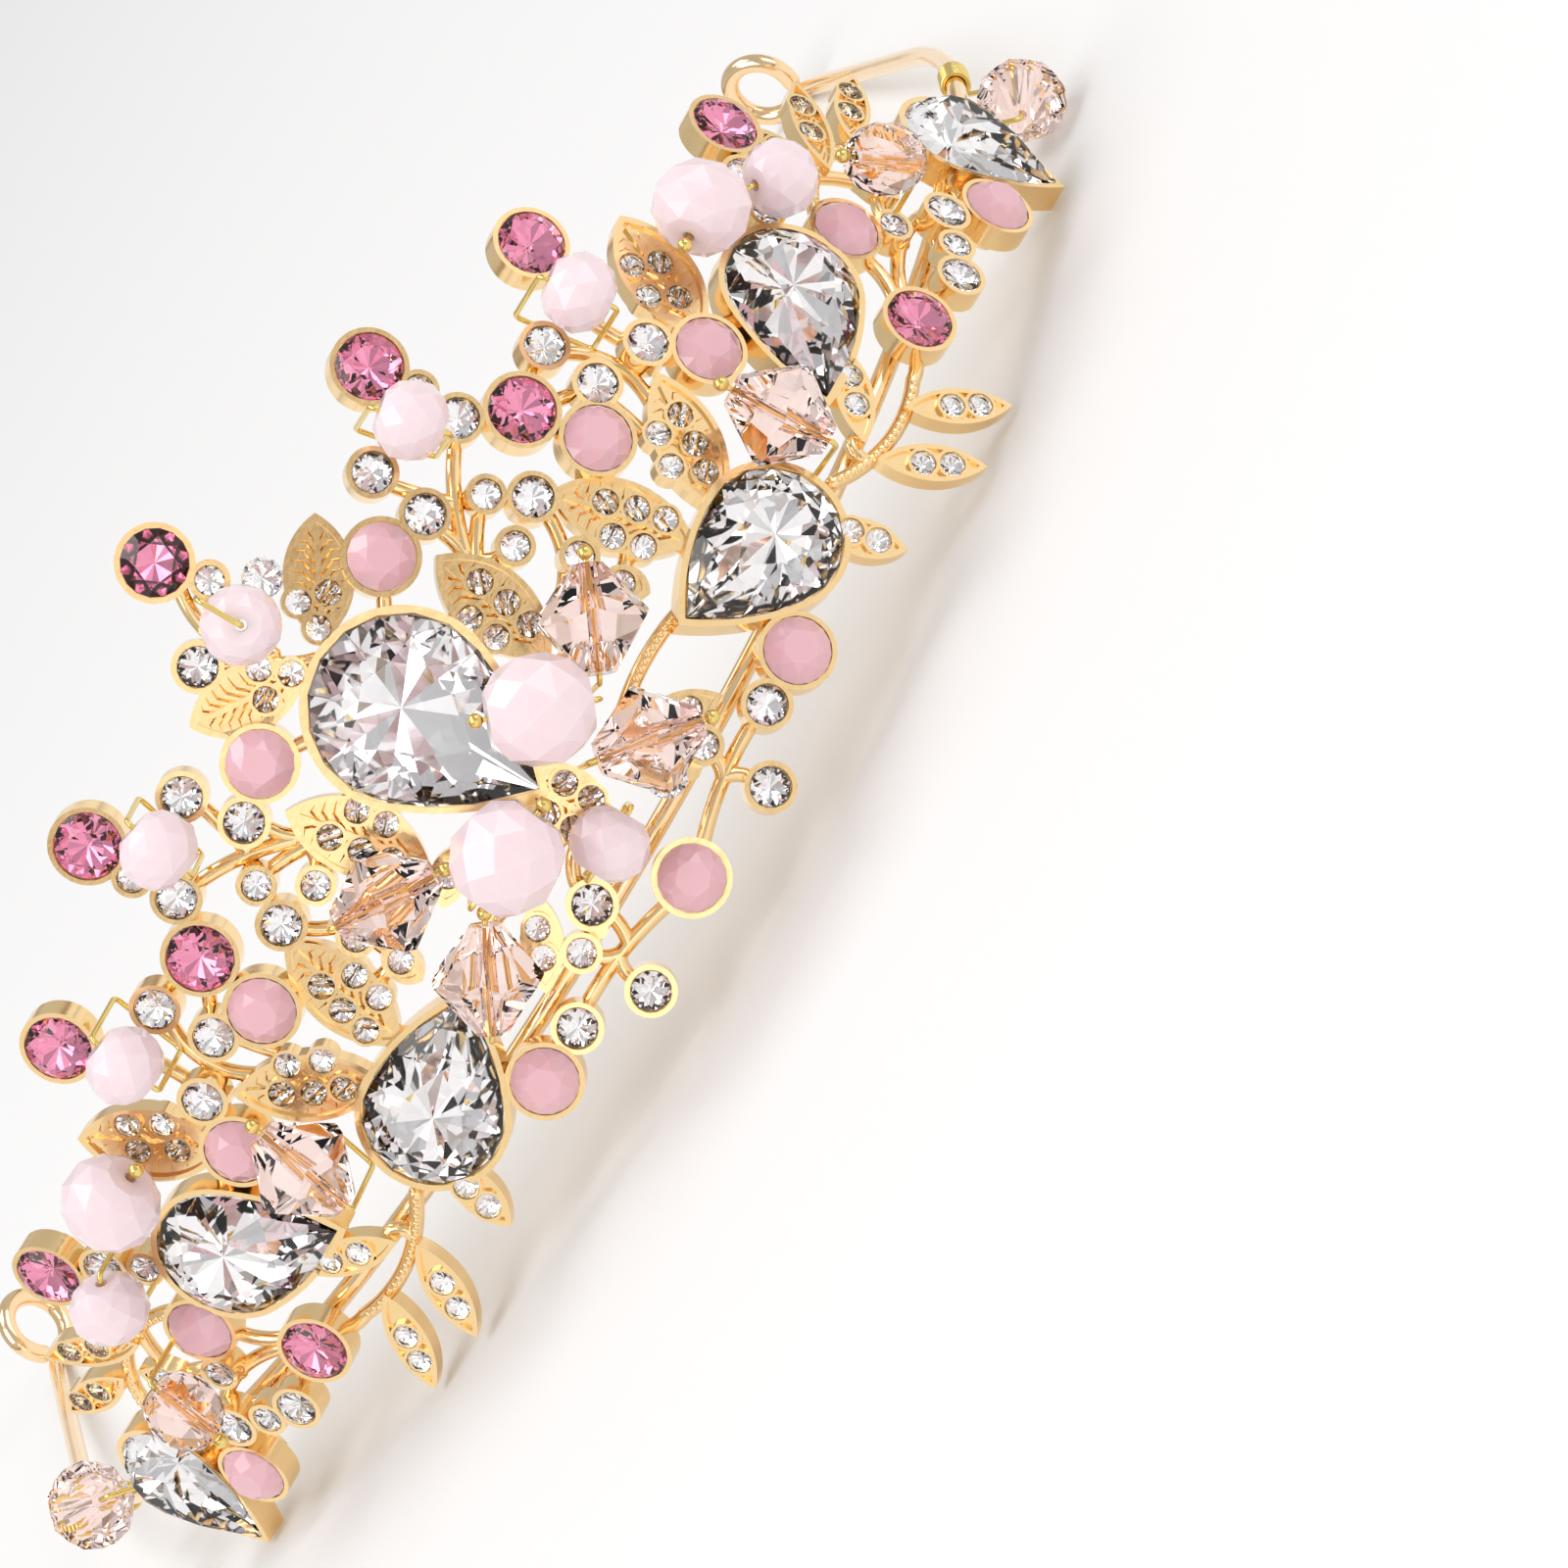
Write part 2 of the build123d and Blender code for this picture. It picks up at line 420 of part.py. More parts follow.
# Beads and their wires: kind, angle, height, out, and the bore's turn from along the band, or "facing"
BEADS = {
    "bead_milky_top": ("milky", -0.6, 31.6, 6.6, "facing"),
    "bead_milky_bottom": ("milky", -0.7, 2.6, 5.9, 0),
    "bead_milky_inner_left": ("milky", -14.6, 28.4, 7.0, 80),
    "bead_milky_inner_right": ("milky", 15.0, 28.4, 7.0, 100),
    "bead_milky_mid_left": ("milky", -27.3, 22.2, 7.0, 85),
    "bead_milky_mid_right": ("milky", 27.3, 22.2, 7.0, 95),
    "bead_milky_outer_left": ("milky", -43.0, 12.9, 7.0, 45),
    "bead_milky_outer_right": ("milky", 41.6, 12.7, 7.0, 140),
    "bead_milky_large_left": ("milky_large", -36.0, 17.4, 7.0, 0),
    "bead_milky_large_right": ("milky_large", 36.7, 17.0, 7.0, 180),
    "bead_milky_bicone_left": ("milky_bicone", -4.2, 8.3, 9.4, -4),
    "bead_milky_bicone_right": ("milky_bicone", 3.7, 11.5, 9.8, 130),
    "bead_bicone_upper_left": ("bicone", -10.0, 13.6, 7.1, -30),
    "bead_bicone_upper_right": ("bicone", 9.9, 11.2, 7.1, 35),
    "bead_bicone_lower_left": ("bicone", -10.8, 4.9, 6.9, 35),
    "bead_bicone_lower_right": ("bicone", 5.4, 3.9, 7.8, -40),
    "bead_bicone_outer_left": ("bicone", -26.3, 8.2, 7.6, 82),
    "bead_bicone_outer_right": ("bicone", 26.0, 6.2, 7.6, 90),
    "bead_clear_left": ("clear_round", -46.8, 4.2, 6.9, 265),
    "bead_clear_right": ("clear_round", 47.2, 6.2, 6.9, 120),
}
END_BEADS = {  # kind, angle round the band, distance from the band's centre, rise above level
    "bead_bicone_end_left": ("end_bicone", -68.5, 4.7, 44),
    "bead_bicone_end_right": ("end_bicone", 67.5, 4.8, -44),
}


ONE_LEG = [  # beads whose wire has a leg at the bore's start only and ends in a ball at its other end
    "bead_milky_large_left", "bead_milky_large_right", "bead_milky_bicone_left", "bead_milky_bicone_right",
    "bead_bicone_upper_left", "bead_bicone_upper_right", "bead_bicone_lower_left", "bead_bicone_lower_right",
    "bead_bicone_outer_left", "bead_bicone_outer_right", "bead_clear_left", "bead_clear_right"]


def bead(kind):
    """A bead about the x axis, with its bore along it."""
    size, length = BEAD_SIZE[kind]
    end, belt = BEAD_FLAT[kind] * size / 2, BEAD_BELT[kind] * length / 2
    outline = [(-length / 2, BEAD_BORE / 2), (-length / 2, end), (-belt, size / 2), (belt, size / 2),
               (length / 2, end), (length / 2, BEAD_BORE / 2)]
    return revolve(make_face(Polyline(*outline, close=True)), Axis.X)


def bead_location(name):
    """A bead's own location, with its bore along x and z away from the panel or the band."""
    if name in END_BEADS:
        _, angle, distance, rise = END_BEADS[name]
        lift = radians(rise)
        away = band_point(angle).normalized() * cos(lift) + Vector(0, 0, sin(lift))
        centre = band_point(angle) + away * distance
        return Location(Plane(origin=centre, x_dir=band_heading(angle), z_dir=away))
    _, angle, height, out, turn = BEADS[name]
    if turn == "facing":
        return station(angle, height, out) * Rot(0, -90, 0)
    return station(angle, height, out, turn)


def wire_along(points):
    """A bent wire through points, with rounded bends."""
    path = FilletPolyline(*points, radius=WIRE_BEND)
    return sweep(Plane(origin=path @ 0, z_dir=path % 0) * Circle(BEAD_WIRE / 2), path=path)


def bead_wire(name):
    """A bead's wire: through the bore and back past the panel or down to the band at its ends."""
    place = bead_location(name)
    kind = (BEADS.get(name) or END_BEADS[name])[0]
    size, length = BEAD_SIZE[kind]
    reach = length / 2 + BEAD_GAP + BEAD_WIRE / 2
    if name in END_BEADS:
        back = BAND_WIRE / 2 - END_BEADS[name][2]
        return place * wire_along([(-reach, 0, back), (-reach, 0, 0), (reach, 0, 0), (reach, 0, back)])
    _, angle, height, out, turn = BEADS[name]
    back = WIRE_BACK - out
    if turn == "facing":
        over = size / 2 + BEAD_GAP + BEAD_WIRE / 2
        loop = [(0, over * 0.4, back), (0, 0, back), (0, 0, reach), (0, over, reach), (0, over, back),
                (0, over * 0.6, back)]
        return station(angle, height, out) * wire_along(loop)
    leg = [(-WIRE_FOOT, 0, back), (-reach, 0, back), (-reach, 0, 0)]
    if name in ONE_LEG:
        end = length / 2 + BALL_GAP + END_BALL
        return place * (wire_along(leg + [(end, 0, 0)]) + Pos(end, 0, 0) * Sphere(END_BALL))
    return place * wire_along(leg + [(reach, 0, 0), (reach, 0, back), (WIRE_FOOT, 0, back)])


def main():
    """Make every piece, settle it on the table and write it."""
    os.makedirs("parts", exist_ok=True)
    sides = {"right": lambda shape: shape, "left": mirrored}
    pieces = {"band_front": band_front()}
    centre_cups = CENTRE_CUPS + both(CENTRE_PAIRS)
    centre_leaves = CENTRE_LEAVES + both(CENTRE_LEAF_PAIRS)
    centre_vines = CENTRE_VINES + both(CENTRE_VINE_PAIRS)
    centre = casting(centre_cups, centre_vines, centre_leaves, ["centre"], [-5.6, 5.6])
    side = casting(SIDE_CUPS, SIDE_VINES, SIDE_LEAVES, ["side"], [20.4], centre)
    outer = casting(OUTER_CUPS, OUTER_VINES, OUTER_LEAVES, ["outer"], [38.6], side)
    end = casting(END_CUPS, END_VINES, END_LEAVES, ["end"], [54.2], outer)
    pieces["casting_centre"] = centre
    pieces["pear_centre"] = pear_stone("centre")
    right = {"casting_side": side, "casting_outer": outer, "casting_end": end}
    for name in ("side", "outer", "end"):
        right[f"pear_{name}"] = pear_stone(name)
    right["band_arm"], right["binding_wrap"] = band_arm(), Compound(binding_wrap())
    pieces["rose_apex"] = Compound(round_stones(["rose"], centre_cups))
    pieces["opals_centre"] = Compound(round_stones(["opal"], centre_cups))
    pieces["chatons_centre"] = Compound(round_stones(["chaton", "small"], centre_cups))
    pieces["leaf_stones_centre"] = Compound(leaf_set(centre_leaves))
    side_cups = SIDE_CUPS + OUTER_CUPS + END_CUPS
    right["roses"] = Compound(round_stones(["rose"], side_cups))
    right["opals"] = Compound(round_stones(["opal"], side_cups))
    right["chatons"] = Compound(round_stones(["chaton", "small"], side_cups))
    right["leaf_stones"] = Compound(leaf_set(SIDE_LEAVES + OUTER_LEAVES + END_LEAVES))
    for name, shape in right.items():
        for side_name, turned in sides.items():
            pieces[f"{name}_{side_name}"] = turned(shape)
    wires = {"left": [], "centre": [], "right": []}
    for name in list(BEADS) + list(END_BEADS):
        kind, angle = (BEADS.get(name) or END_BEADS[name])[:2]
        pieces[name] = bead_location(name) * bead(kind)
        group = "centre" if abs(angle) < 12 else "left" if angle < 0 else "right"
        wires[group].append(bead_wire(name))
    for group, made in wires.items():
        pieces[f"bead_wires_{group}"] = Compound(made)
    settle = settling(pieces)
    for name, shape in pieces.items():
        export_step(settle * shape, f"parts/{name}.step")
    return pieces, settle


def settling(pieces):
    """The move that rests the tiara on its lowest leaf tips and its loops, with its box's foot at zero."""
    tip_angle, tip_height = OUTER_LEAVES[-1][1]
    tip = spot(tip_angle, tip_height, LEAF_OUT)
    loop_back = band_point(BAND_CURVE_ANGLE) + band_heading(BAND_CURVE_ANGLE) * ARM_STRAIGHT
    fall = (-BAND_WIRE / 2 - tip.Z) / (loop_back.Y - tip.Y)
    tilt = Rot(-degrees(atan2(fall, 1)), 0, 0)
    box = Compound([tilt * shape for shape in pieces.values()]).bounding_box()
    return Pos(-(box.min.X + box.max.X) / 2, -(box.min.Y + box.max.Y) / 2, -box.min.Z) * tilt


PIECES, SETTLE = main()
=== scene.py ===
"""Looks of the beaded tiara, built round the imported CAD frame.

Faceted stones and beads replace the plain CAD ones.  Each stone's place is read from its CAD solid
and each bead's from its joint.  The castings, band and wires stay CAD, with cast detail added on top.
Lengths are metres; places on the panel are degrees round the band and millimetres above it.
"""
import json
import math

import bpy
import numpy as np
from mathutils import Matrix, Vector


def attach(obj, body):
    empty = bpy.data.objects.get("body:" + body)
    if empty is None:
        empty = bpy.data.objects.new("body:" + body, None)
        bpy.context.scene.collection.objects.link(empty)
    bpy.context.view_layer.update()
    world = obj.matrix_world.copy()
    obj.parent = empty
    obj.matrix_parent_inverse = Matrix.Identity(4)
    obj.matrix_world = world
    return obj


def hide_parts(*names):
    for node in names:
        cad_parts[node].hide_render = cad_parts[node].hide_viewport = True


MM = 0.001
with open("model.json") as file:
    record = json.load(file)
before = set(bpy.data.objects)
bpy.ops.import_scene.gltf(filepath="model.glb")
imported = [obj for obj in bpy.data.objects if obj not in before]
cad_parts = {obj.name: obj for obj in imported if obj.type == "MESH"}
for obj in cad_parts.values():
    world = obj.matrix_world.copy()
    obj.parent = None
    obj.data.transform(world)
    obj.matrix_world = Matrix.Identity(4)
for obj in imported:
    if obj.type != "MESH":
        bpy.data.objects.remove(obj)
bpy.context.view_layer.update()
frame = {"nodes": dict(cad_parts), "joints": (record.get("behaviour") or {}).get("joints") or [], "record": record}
NODES = frame["nodes"]
MOUNTS = {m["name"]: m for m in frame["record"]["mounts"]}

# The head band's own axes: x across the head, y back over the head, z up from the band
BAND_FRONT = np.array(MOUNTS["head_band"]["pos_m"], float)
BAND_Y = np.array(MOUNTS["head_band"]["axis"], float)
BAND_X = np.array([1.0, 0.0, 0.0])
BAND_Z = np.cross(BAND_X, BAND_Y)
BAND_RADIUS = 63.0 * MM
LEAN = math.radians(7.0)
PEAR_CROWN = 2.1 * MM     # heights of a pear stone's facets
PEAR_SHOULDER = 1.35 * MM
PEAR_GIRDLE = 0.5 * MM
PEAR_BACK = 0.8 * MM
PEAR_SIDES = 16           # points of a pear stone's outline
PEAR_TABLE = 0.5          # a pear's table, as a share of its girdle
PEAR_MIDDLE = 0.76        # the ring between table and girdle, as a share of the girdle
PEAR_RING_DEPTH = 1.0     # its back ring lies at the full depth, round a flat mirror
ROUND_SIDES = 16
ROUND_SHOULDER = 0.62     # height of a round stone's middle ring, as a share of its crown
BACK_RING = 0.55          # the ring behind a stone, as a share of its girdle
BACK_RING_DEPTH = 0.62
ROSE_CUT = (0.56, 0.34)   # a round stone's table and crown, as shares of its radius
OPAL_CUT = (0.52, 0.50)
CHATON_CUT = (0.5, 0.34)
BEAD_BORE = 0.45 * MM


def panel(angle, height, out):
    """Points of the leaning panel, for arrays of degrees round the band, mm up and mm out."""
    a = np.radians(np.asarray(angle, float))[:, None]
    h = np.asarray(height, float)[:, None] * MM
    o = np.asarray(out, float)[:, None] * MM
    away = np.sin(a) * BAND_X - np.cos(a) * BAND_Y
    centre = BAND_FRONT + BAND_RADIUS * BAND_Y
    reach = BAND_RADIUS + o * math.cos(LEAN) - h * math.tan(LEAN)
    return centre + away * reach + BAND_Z * (h + o * math.sin(LEAN))


# Materials

def material(name, **inputs):
    """A plain shader with its constants set on its own sockets."""
    made = bpy.data.materials.new(name)
    made.use_nodes = True
    shader = made.node_tree.nodes["Principled BSDF"]
    for key, value in inputs.items():
        shader.inputs[key.replace("_", " ")].default_value = value
    return made


def worn(made, scale, low, high, bump=0.0, distance=0.00005):
    """Roughness that varies softly over the surface, and a slight unevenness of the casting."""
    tree = made.node_tree
    shader = tree.nodes["Principled BSDF"]
    place = tree.nodes.new("ShaderNodeTexCoord")
    noise = tree.nodes.new("ShaderNodeTexNoise")
    noise.inputs["Scale"].default_value = scale
    noise.inputs["Detail"].default_value = 3.0
    spread = tree.nodes.new("ShaderNodeMapRange")
    spread.inputs["To Min"].default_value = low
    spread.inputs["To Max"].default_value = high
    tree.links.new(place.outputs["Object"], noise.inputs["Vector"])
    tree.links.new(noise.outputs["Fac"], spread.inputs["Value"])
    tree.links.new(spread.outputs["Result"], shader.inputs["Roughness"])
    if bump:
        relief = tree.nodes.new("ShaderNodeBump")
        relief.inputs["Strength"].default_value = bump
        relief.inputs["Distance"].default_value = distance
        tree.links.new(noise.outputs["Fac"], relief.inputs["Height"])
        tree.links.new(relief.outputs["Normal"], shader.inputs["Normal"])
    return made


GOLD = worn(material("cast_gold", Base_Color=(1.0, 0.73, 0.38, 1), Metallic=1.0), 900, 0.08, 0.22, 0.3)
BAND_GOLD = worn(material("band_gold", Base_Color=(1.0, 0.74, 0.44, 1), Metallic=1.0), 300, 0.08, 0.16)
BRASS = worn(material("brass_wire", Base_Color=(0.86, 0.66, 0.22, 1), Metallic=1.0), 800, 0.16, 0.28)
FOIL = material("mirror_foil", Base_Color=(0.93, 0.92, 0.93, 1), Metallic=1.0, Roughness=0.04)
CLEAR = material("clear_crystal", Base_Color=(1, 1, 1, 1), Roughness=0.0, IOR=1.56, Transmission_Weight=1.0)
ROSE_FOIL = material("rose_foil", Base_Color=(0.96, 0.62, 0.74, 1), Metallic=1.0, Roughness=0.05)
ROSE = material("rose_crystal", Base_Color=(0.95, 0.50, 0.66, 1), Roughness=0.0, IOR=1.56,
                Transmission_Weight=1.0)
OPAL = material("mauve_opal", Base_Color=(0.84, 0.50, 0.56, 1), Roughness=0.12, IOR=1.5,
                Subsurface_Weight=0.35, Subsurface_Radius=(1.0, 0.6, 0.6), Subsurface_Scale=0.0012,
                Coat_Weight=0.6, Coat_Roughness=0.03)
MILKY = material("milky_glass", Base_Color=(0.95, 0.76, 0.80, 1), Roughness=0.22, IOR=1.5,
                 Subsurface_Weight=0.5, Subsurface_Radius=(1.0, 0.8, 0.8), Subsurface_Scale=0.002,
                 Coat_Weight=0.4, Coat_Roughness=0.08)
BLUSH = material("blush_glass", Base_Color=(1.0, 0.80, 0.75, 1), Roughness=0.0, IOR=1.42,
                 Transmission_Weight=1.0)


# Meshes

def outward(vertices, faces, centre):
    """Triangles turned so that each faces away from a centre."""
    corners = vertices[faces]
    normal = np.cross(corners[:, 1] - corners[:, 0], corners[:, 2] - corners[:, 0])
    inward = np.einsum("ij,ij->i", normal, corners.mean(1) - centre) < 0
    turned = faces.copy()
    turned[inward] = faces[inward][:, ::-1]
    return turned


def piece(name, vertices, faces, materials, slots=None, smooth=False):
    """A mesh object at the origin from arrays of vertices and triangles."""
    mesh = bpy.data.meshes.new(name)
    mesh.from_pydata(vertices.tolist(), [], faces.tolist())
    for made in materials:
        mesh.materials.append(made)
    if slots is not None:
        mesh.polygons.foreach_set("material_index", np.asarray(slots, np.int32))
    mesh.polygons.foreach_set("use_smooth", np.full(len(faces), smooth))
    mesh.update()
    obj = bpy.data.objects.new(name, mesh)
    bpy.context.scene.collection.objects.link(obj)
    return obj


def gathered(parts):
    """Several (vertices, faces, slots) joined into one."""
    counts = np.cumsum([0] + [len(v) for v, _, _ in parts])
    vertices = np.concatenate([v for v, _, _ in parts])
    faces = np.concatenate([f + start for (_, f, _), start in zip(parts, counts)])
    return vertices, faces, np.concatenate([s for _, _, s in parts])


def cut_stone(outline, table, middle, crown, shoulder, girdle, back, ring_depth=BACK_RING_DEPTH):
    """A cut stone on its own axes: rings of the girdle's outline, shrunk towards its middle.

    The table ring holds every second outline point at the crown's height, the middle ring the points
    between them at the shoulder's height.  The back narrows through a half-size ring, at a share of its
    depth, to its point.
    Faces above the girdle's foot are slot 0 and those behind it slot 1.
    """
    count = len(outline) // 2
    flat = np.zeros((len(outline), 1))
    even, odd = outline[::2], outline[1::2]
    rings = [np.zeros((1, 3)) + [0, 0, crown],
             np.hstack([even * table, flat[:count] + crown]),
             np.hstack([odd * middle, flat[:count] + shoulder]),
             np.hstack([outline, flat]),
             np.hstack([outline, flat - girdle]),
             np.hstack([odd * BACK_RING, flat[:count] - girdle - ring_depth * back]),
             np.zeros((1, 3)) + [0, 0, -girdle - back]]
    top, tables, middles, rim, foot, inner, point = np.cumsum([0] + [len(r) for r in rings])[:-1]
    i = np.arange(count)
    j = (i + 1) % count
    k = np.arange(2 * count)
    m = (k + 1) % (2 * count)
    front = [(0 * i + top, tables + i, tables + j), (tables + i, middles + i, tables + j),
             (tables + j, middles + i, rim + 2 * j), (tables + j, rim + 2 * j, middles + j),
             (middles + i, rim + 2 * i, rim + 2 * i + 1), (middles + i, rim + 2 * i + 1, rim + 2 * j),
             (rim + k, foot + k, foot + m), (rim + k, foot + m, rim + m)]
    behind = [(foot + 2 * i, foot + 2 * i + 1, inner + i), (foot + 2 * i + 1, foot + 2 * j, inner + i),
              (foot + 2 * j, inner + i, 0 * i + point), (foot + 2 * j, inner + j, 0 * i + point)]
    faces = np.concatenate([np.stack(f, 1) for f in front + behind])
    first = sum(len(f[0]) for f in front)
    vertices = np.concatenate(rings)
    faces = outward(vertices, faces, np.array([0, 0, -girdle * 0.5]))
    return vertices, faces, (np.arange(len(faces)) >= first).astype(np.int32)


def circle(count, radius):
    """Points of a circle."""
    turn = np.arange(count) * 2 * np.pi / count
    return np.stack([np.cos(turn), np.sin(turn)], 1) * radius


def solids(name):
    """The vertices of each separate solid of a CAD node: the lowest label spreads over shared corners."""
    mesh = NODES[name].data
    points = np.zeros(len(mesh.vertices) * 3)
    mesh.vertices.foreach_get("co", points)
    points = points.reshape(-1, 3)
    corners = np.zeros(len(mesh.loops), np.int32)
    mesh.loops.foreach_get("vertex_index", corners)
    _, weld = np.unique(np.round(points * 1e6).astype(np.int64), axis=0, return_inverse=True)
    weld = weld.ravel()
    faces = weld[corners.reshape(-1, 3)]
    label = np.arange(weld.max() + 1)
    while True:
        lowest = label[faces].min(1)
        spread = label.copy()
        np.minimum.at(spread, faces.ravel(), np.repeat(lowest, 3))
        spread = spread[spread]
        if (spread == label).all():
            break
        label = spread
    own = label[weld]
    return [points[own == group] for group in np.unique(own)]


def stone_axes(points):
    """A stone's own axes from its vertices: the thin direction, turned outwards, is z."""
    middle = (points.min(0) + points.max(0)) / 2
    _, _, axes = np.linalg.svd(points - points.mean(0), full_matrices=False)
    away = middle - (BAND_FRONT + BAND_RADIUS * BAND_Y)
    z = axes[2] * np.sign(axes[2] @ away)
    x = axes[0]
    return np.stack([x, np.cross(z, x), z])


def round_place(points):
    """A plain round stone's own axes, the middle of its rim on them, its radius, girdle and back depth."""
    axes = stone_axes(points)
    local = points @ axes.T
    centre = (local.min(0) + local.max(0))[:2] / 2
    reach = np.hypot(*(local[:, :2] - centre).T)
    rim = local[reach > 0.97 * reach.max()][:, 2]
    return axes, np.array([*centre, rim.max()]), reach.max(), np.ptp(rim), rim.min() - local[:, 2].min()


def round_gem(points, cut):
    """A faceted round stone in the place of a plain one, its sizes measured from that stone."""
    table, crown = cut
    axes, rim, radius, girdle, back = round_place(points)
    vertices, faces, slots = cut_stone(circle(ROUND_SIDES, radius), table, (1 + table) / 2, crown * radius,
                                       ROUND_SHOULDER * crown * radius, girdle, back)
    return (vertices + rim) @ axes, faces, slots


def pear_gem(points):
    """A faceted teardrop in the place of a plain one.

    Its outline is where rays from the widest place's middle leave the plain stone's supporting lines.
    """
    axes = stone_axes(points)
    local = points @ axes.T
    across = local[:, 1] - (local[:, 1].min() + local[:, 1].max()) / 2
    widest = local[np.abs(across) > 0.98 * np.abs(across).max()]
    middle = np.array([widest[:, 0].mean(), (local[:, 1].min() + local[:, 1].max()) / 2])
    normals, aim = circle(720, 1.0), circle(PEAR_SIDES, 1.0)
    support = ((local[:, :2] - middle) @ normals.T).max(0)
    facing = aim @ normals.T
    outline = aim * np.where(facing > 0.05, support / np.maximum(facing, 0.05), np.inf).min(1)[:, None]
    vertices, faces, slots = cut_stone(outline, PEAR_TABLE, PEAR_MIDDLE, PEAR_CROWN, PEAR_SHOULDER,
                                       PEAR_GIRDLE, PEAR_BACK, PEAR_RING_DEPTH)
    return (vertices + [*middle, local[:, 2].max() - PEAR_CROWN]) @ axes, faces, slots


def between(a, half_a, b, half_b, sides):
    """Triangles between two rings of a bead, each ring either straight or turned half a facet."""
    i = np.arange(sides)
    j = (i + 1) % sides
    if half_a == half_b:
        rows = [(a + i, a + j, b + j), (a + i, b + j, b + i)]
    elif half_b:
        rows = [(a + i, a + j, b + i), (b + i, a + j, b + j)]
    else:
        rows = [(a + i, b + j, b + i), (a + i, a + j, b + j)]
    return [np.stack(row, 1) for row in rows]


def faceted_bead(points, centre, axis, rings, sides):
    """A bead of triangular facets round its bore: each ring is turned half a facet from the one before."""
    along = (points - centre) @ axis
    length = 2 * np.abs(along).max()
    radius = np.linalg.norm(points - centre - along[:, None] * axis, axis=1).max()
    side = np.cross(axis, [0.0, 0.3, 1.0])
    side /= np.linalg.norm(side)
    up = np.cross(axis, side)
    turn = np.arange(sides) * 2 * np.pi / sides
    bore = BEAD_BORE / radius
    stations = [(rings[0][0], bore, 0)]
    stations += [(place, share, number % 2) for number, (place, share) in enumerate(rings)]
    stations.append((rings[-1][0], bore, stations[-1][2]))
    vertices, faces = [], []
    for number, (place, share, half) in enumerate(stations):
        angle = (turn + half * np.pi / sides)[:, None]
        spoke = np.cos(angle) * side + np.sin(angle) * up
        vertices.append(centre + axis * place * length + radius * share * spoke)
        after = (number + 1) % len(stations)
        faces += between(number * sides, half, after * sides, stations[after][2], sides)
    return np.concatenate(vertices), np.concatenate(faces)


# Rings of each bead: place along its length and share of its radius
MILKY_RINGS = [(-0.5, 0.5), (-0.36, 0.80), (-0.14, 0.995), (0.14, 0.995), (0.36, 0.80), (0.5, 0.5)]
BICONE_RINGS = [(-0.5, 0.30), (-0.04, 1.0), (0.04, 1.0), (0.5, 0.30)]
ROUND_RINGS = [(-0.5, 0.55), (-0.36, 0.80), (-0.13, 0.99), (0.13, 0.99), (0.36, 0.80), (0.5, 0.55)]


def placed(obj, node, body):
    """A visual piece that stands for a CAD node and moves with its body."""
    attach(obj, body)
    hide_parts(node)


def make_stones():
    """Every set stone."""
    for name in sorted(NODES):
        if name.startswith("pear"):
            parts = [pear_gem(points) for points in solids(name)]
            finish, slot = [CLEAR, FOIL], "clear_crystal"
        elif name.startswith("rose"):
            parts = [round_gem(points, ROSE_CUT) for points in solids(name)]
            finish, slot = [ROSE, ROSE_FOIL], "rose_crystal"
        elif name.startswith("opal"):
            parts = [round_gem(points, OPAL_CUT) for points in solids(name)]
            finish, slot = [OPAL, OPAL], "mauve_opal"
        elif name.startswith(("chatons", "leaf_stones")):
            parts = [round_gem(points, CHATON_CUT) for points in solids(name)]
            finish, slot = [CLEAR, FOIL], "clear_chaton"
        else:
            continue
        vertices, faces, slots = gathered(parts)
        placed(piece("cut_" + name, vertices, faces, finish, slots), name, "tiara")


def make_beads():
    """Every bead, on its own body."""
    for joint in frame["joints"]:
        if not joint.get("continuous"):
            continue
        body = joint["child"]
        name = body.removesuffix("_body")
        centre = np.array(joint["pos_m"], float)
        axis = np.array(joint["axis"], float)
        axis /= np.linalg.norm(axis)
        points = np.concatenate(solids(name))
        if "milky" in name:
            sides, rings, finish, slot = 8 if "bicone" in name else 9, MILKY_RINGS, MILKY, "milky_glass"
        elif "bicone" in name:
            sides, rings, finish, slot = 8, BICONE_RINGS, BLUSH, "blush_glass"
        else:
            sides, rings, finish, slot = 10, ROUND_RINGS, BLUSH, "blush_glass"
        vertices, faces = faceted_bead(points, centre, axis, rings, sides)
        placed(piece("cut_" + name, vertices, faces, [finish]), name, body)


# Cast details.  Vines with a row of cast grains, each by three places, and leaves with veins, each by its
# base, its tip and its width.  Places are degrees and mm; those on the left mirror those on the right
GRAIN_VINES = [((44.8, 8.4), (49.4, 9.7), (53.6, 7.6)), ((26.4, 0.4), (30.6, -1.9), (36.0, -1.9)),
               ((14.0, 5.9), (10.8, 6.4), (6.6, 6.0)), ((53.6, 7.6), (54.9, 6.0), (55.4, 4.0))]
VEINED_LEAVES = [((1.0, 26.2), (8.0, 31.0), 4.9), ((7.4, 12.2), (9.4, 22.4), 5.4),
                 ((18.2, 7.2), (16.6, 17.6), 5.2), ((20.6, 6.6), (27.2, 14.8), 5.0),
                 ((31.0, 13.0), (36.6, 21.6), 5.8), ((0, 10.2), (0, 2.6), 5.2),
                 ((48.6, 9.0), (56.4, 13.4), 3.0), ((52.6, 8.2), (60.5, 9.2), 2.9)]
GRAIN_SIZE = 0.27         # radius of a grain, mm
GRAIN_STEP = 0.56         # distance between grains, mm
GRAIN_OUT = 1.78          # how far out the grains sit, mm
VEIN_OUT = 2.12           # how far out the veins lie, mm
VEIN_SIZE = 0.13          # half width of a vein, mm
VEINS = 8                 # on each half of a leaf
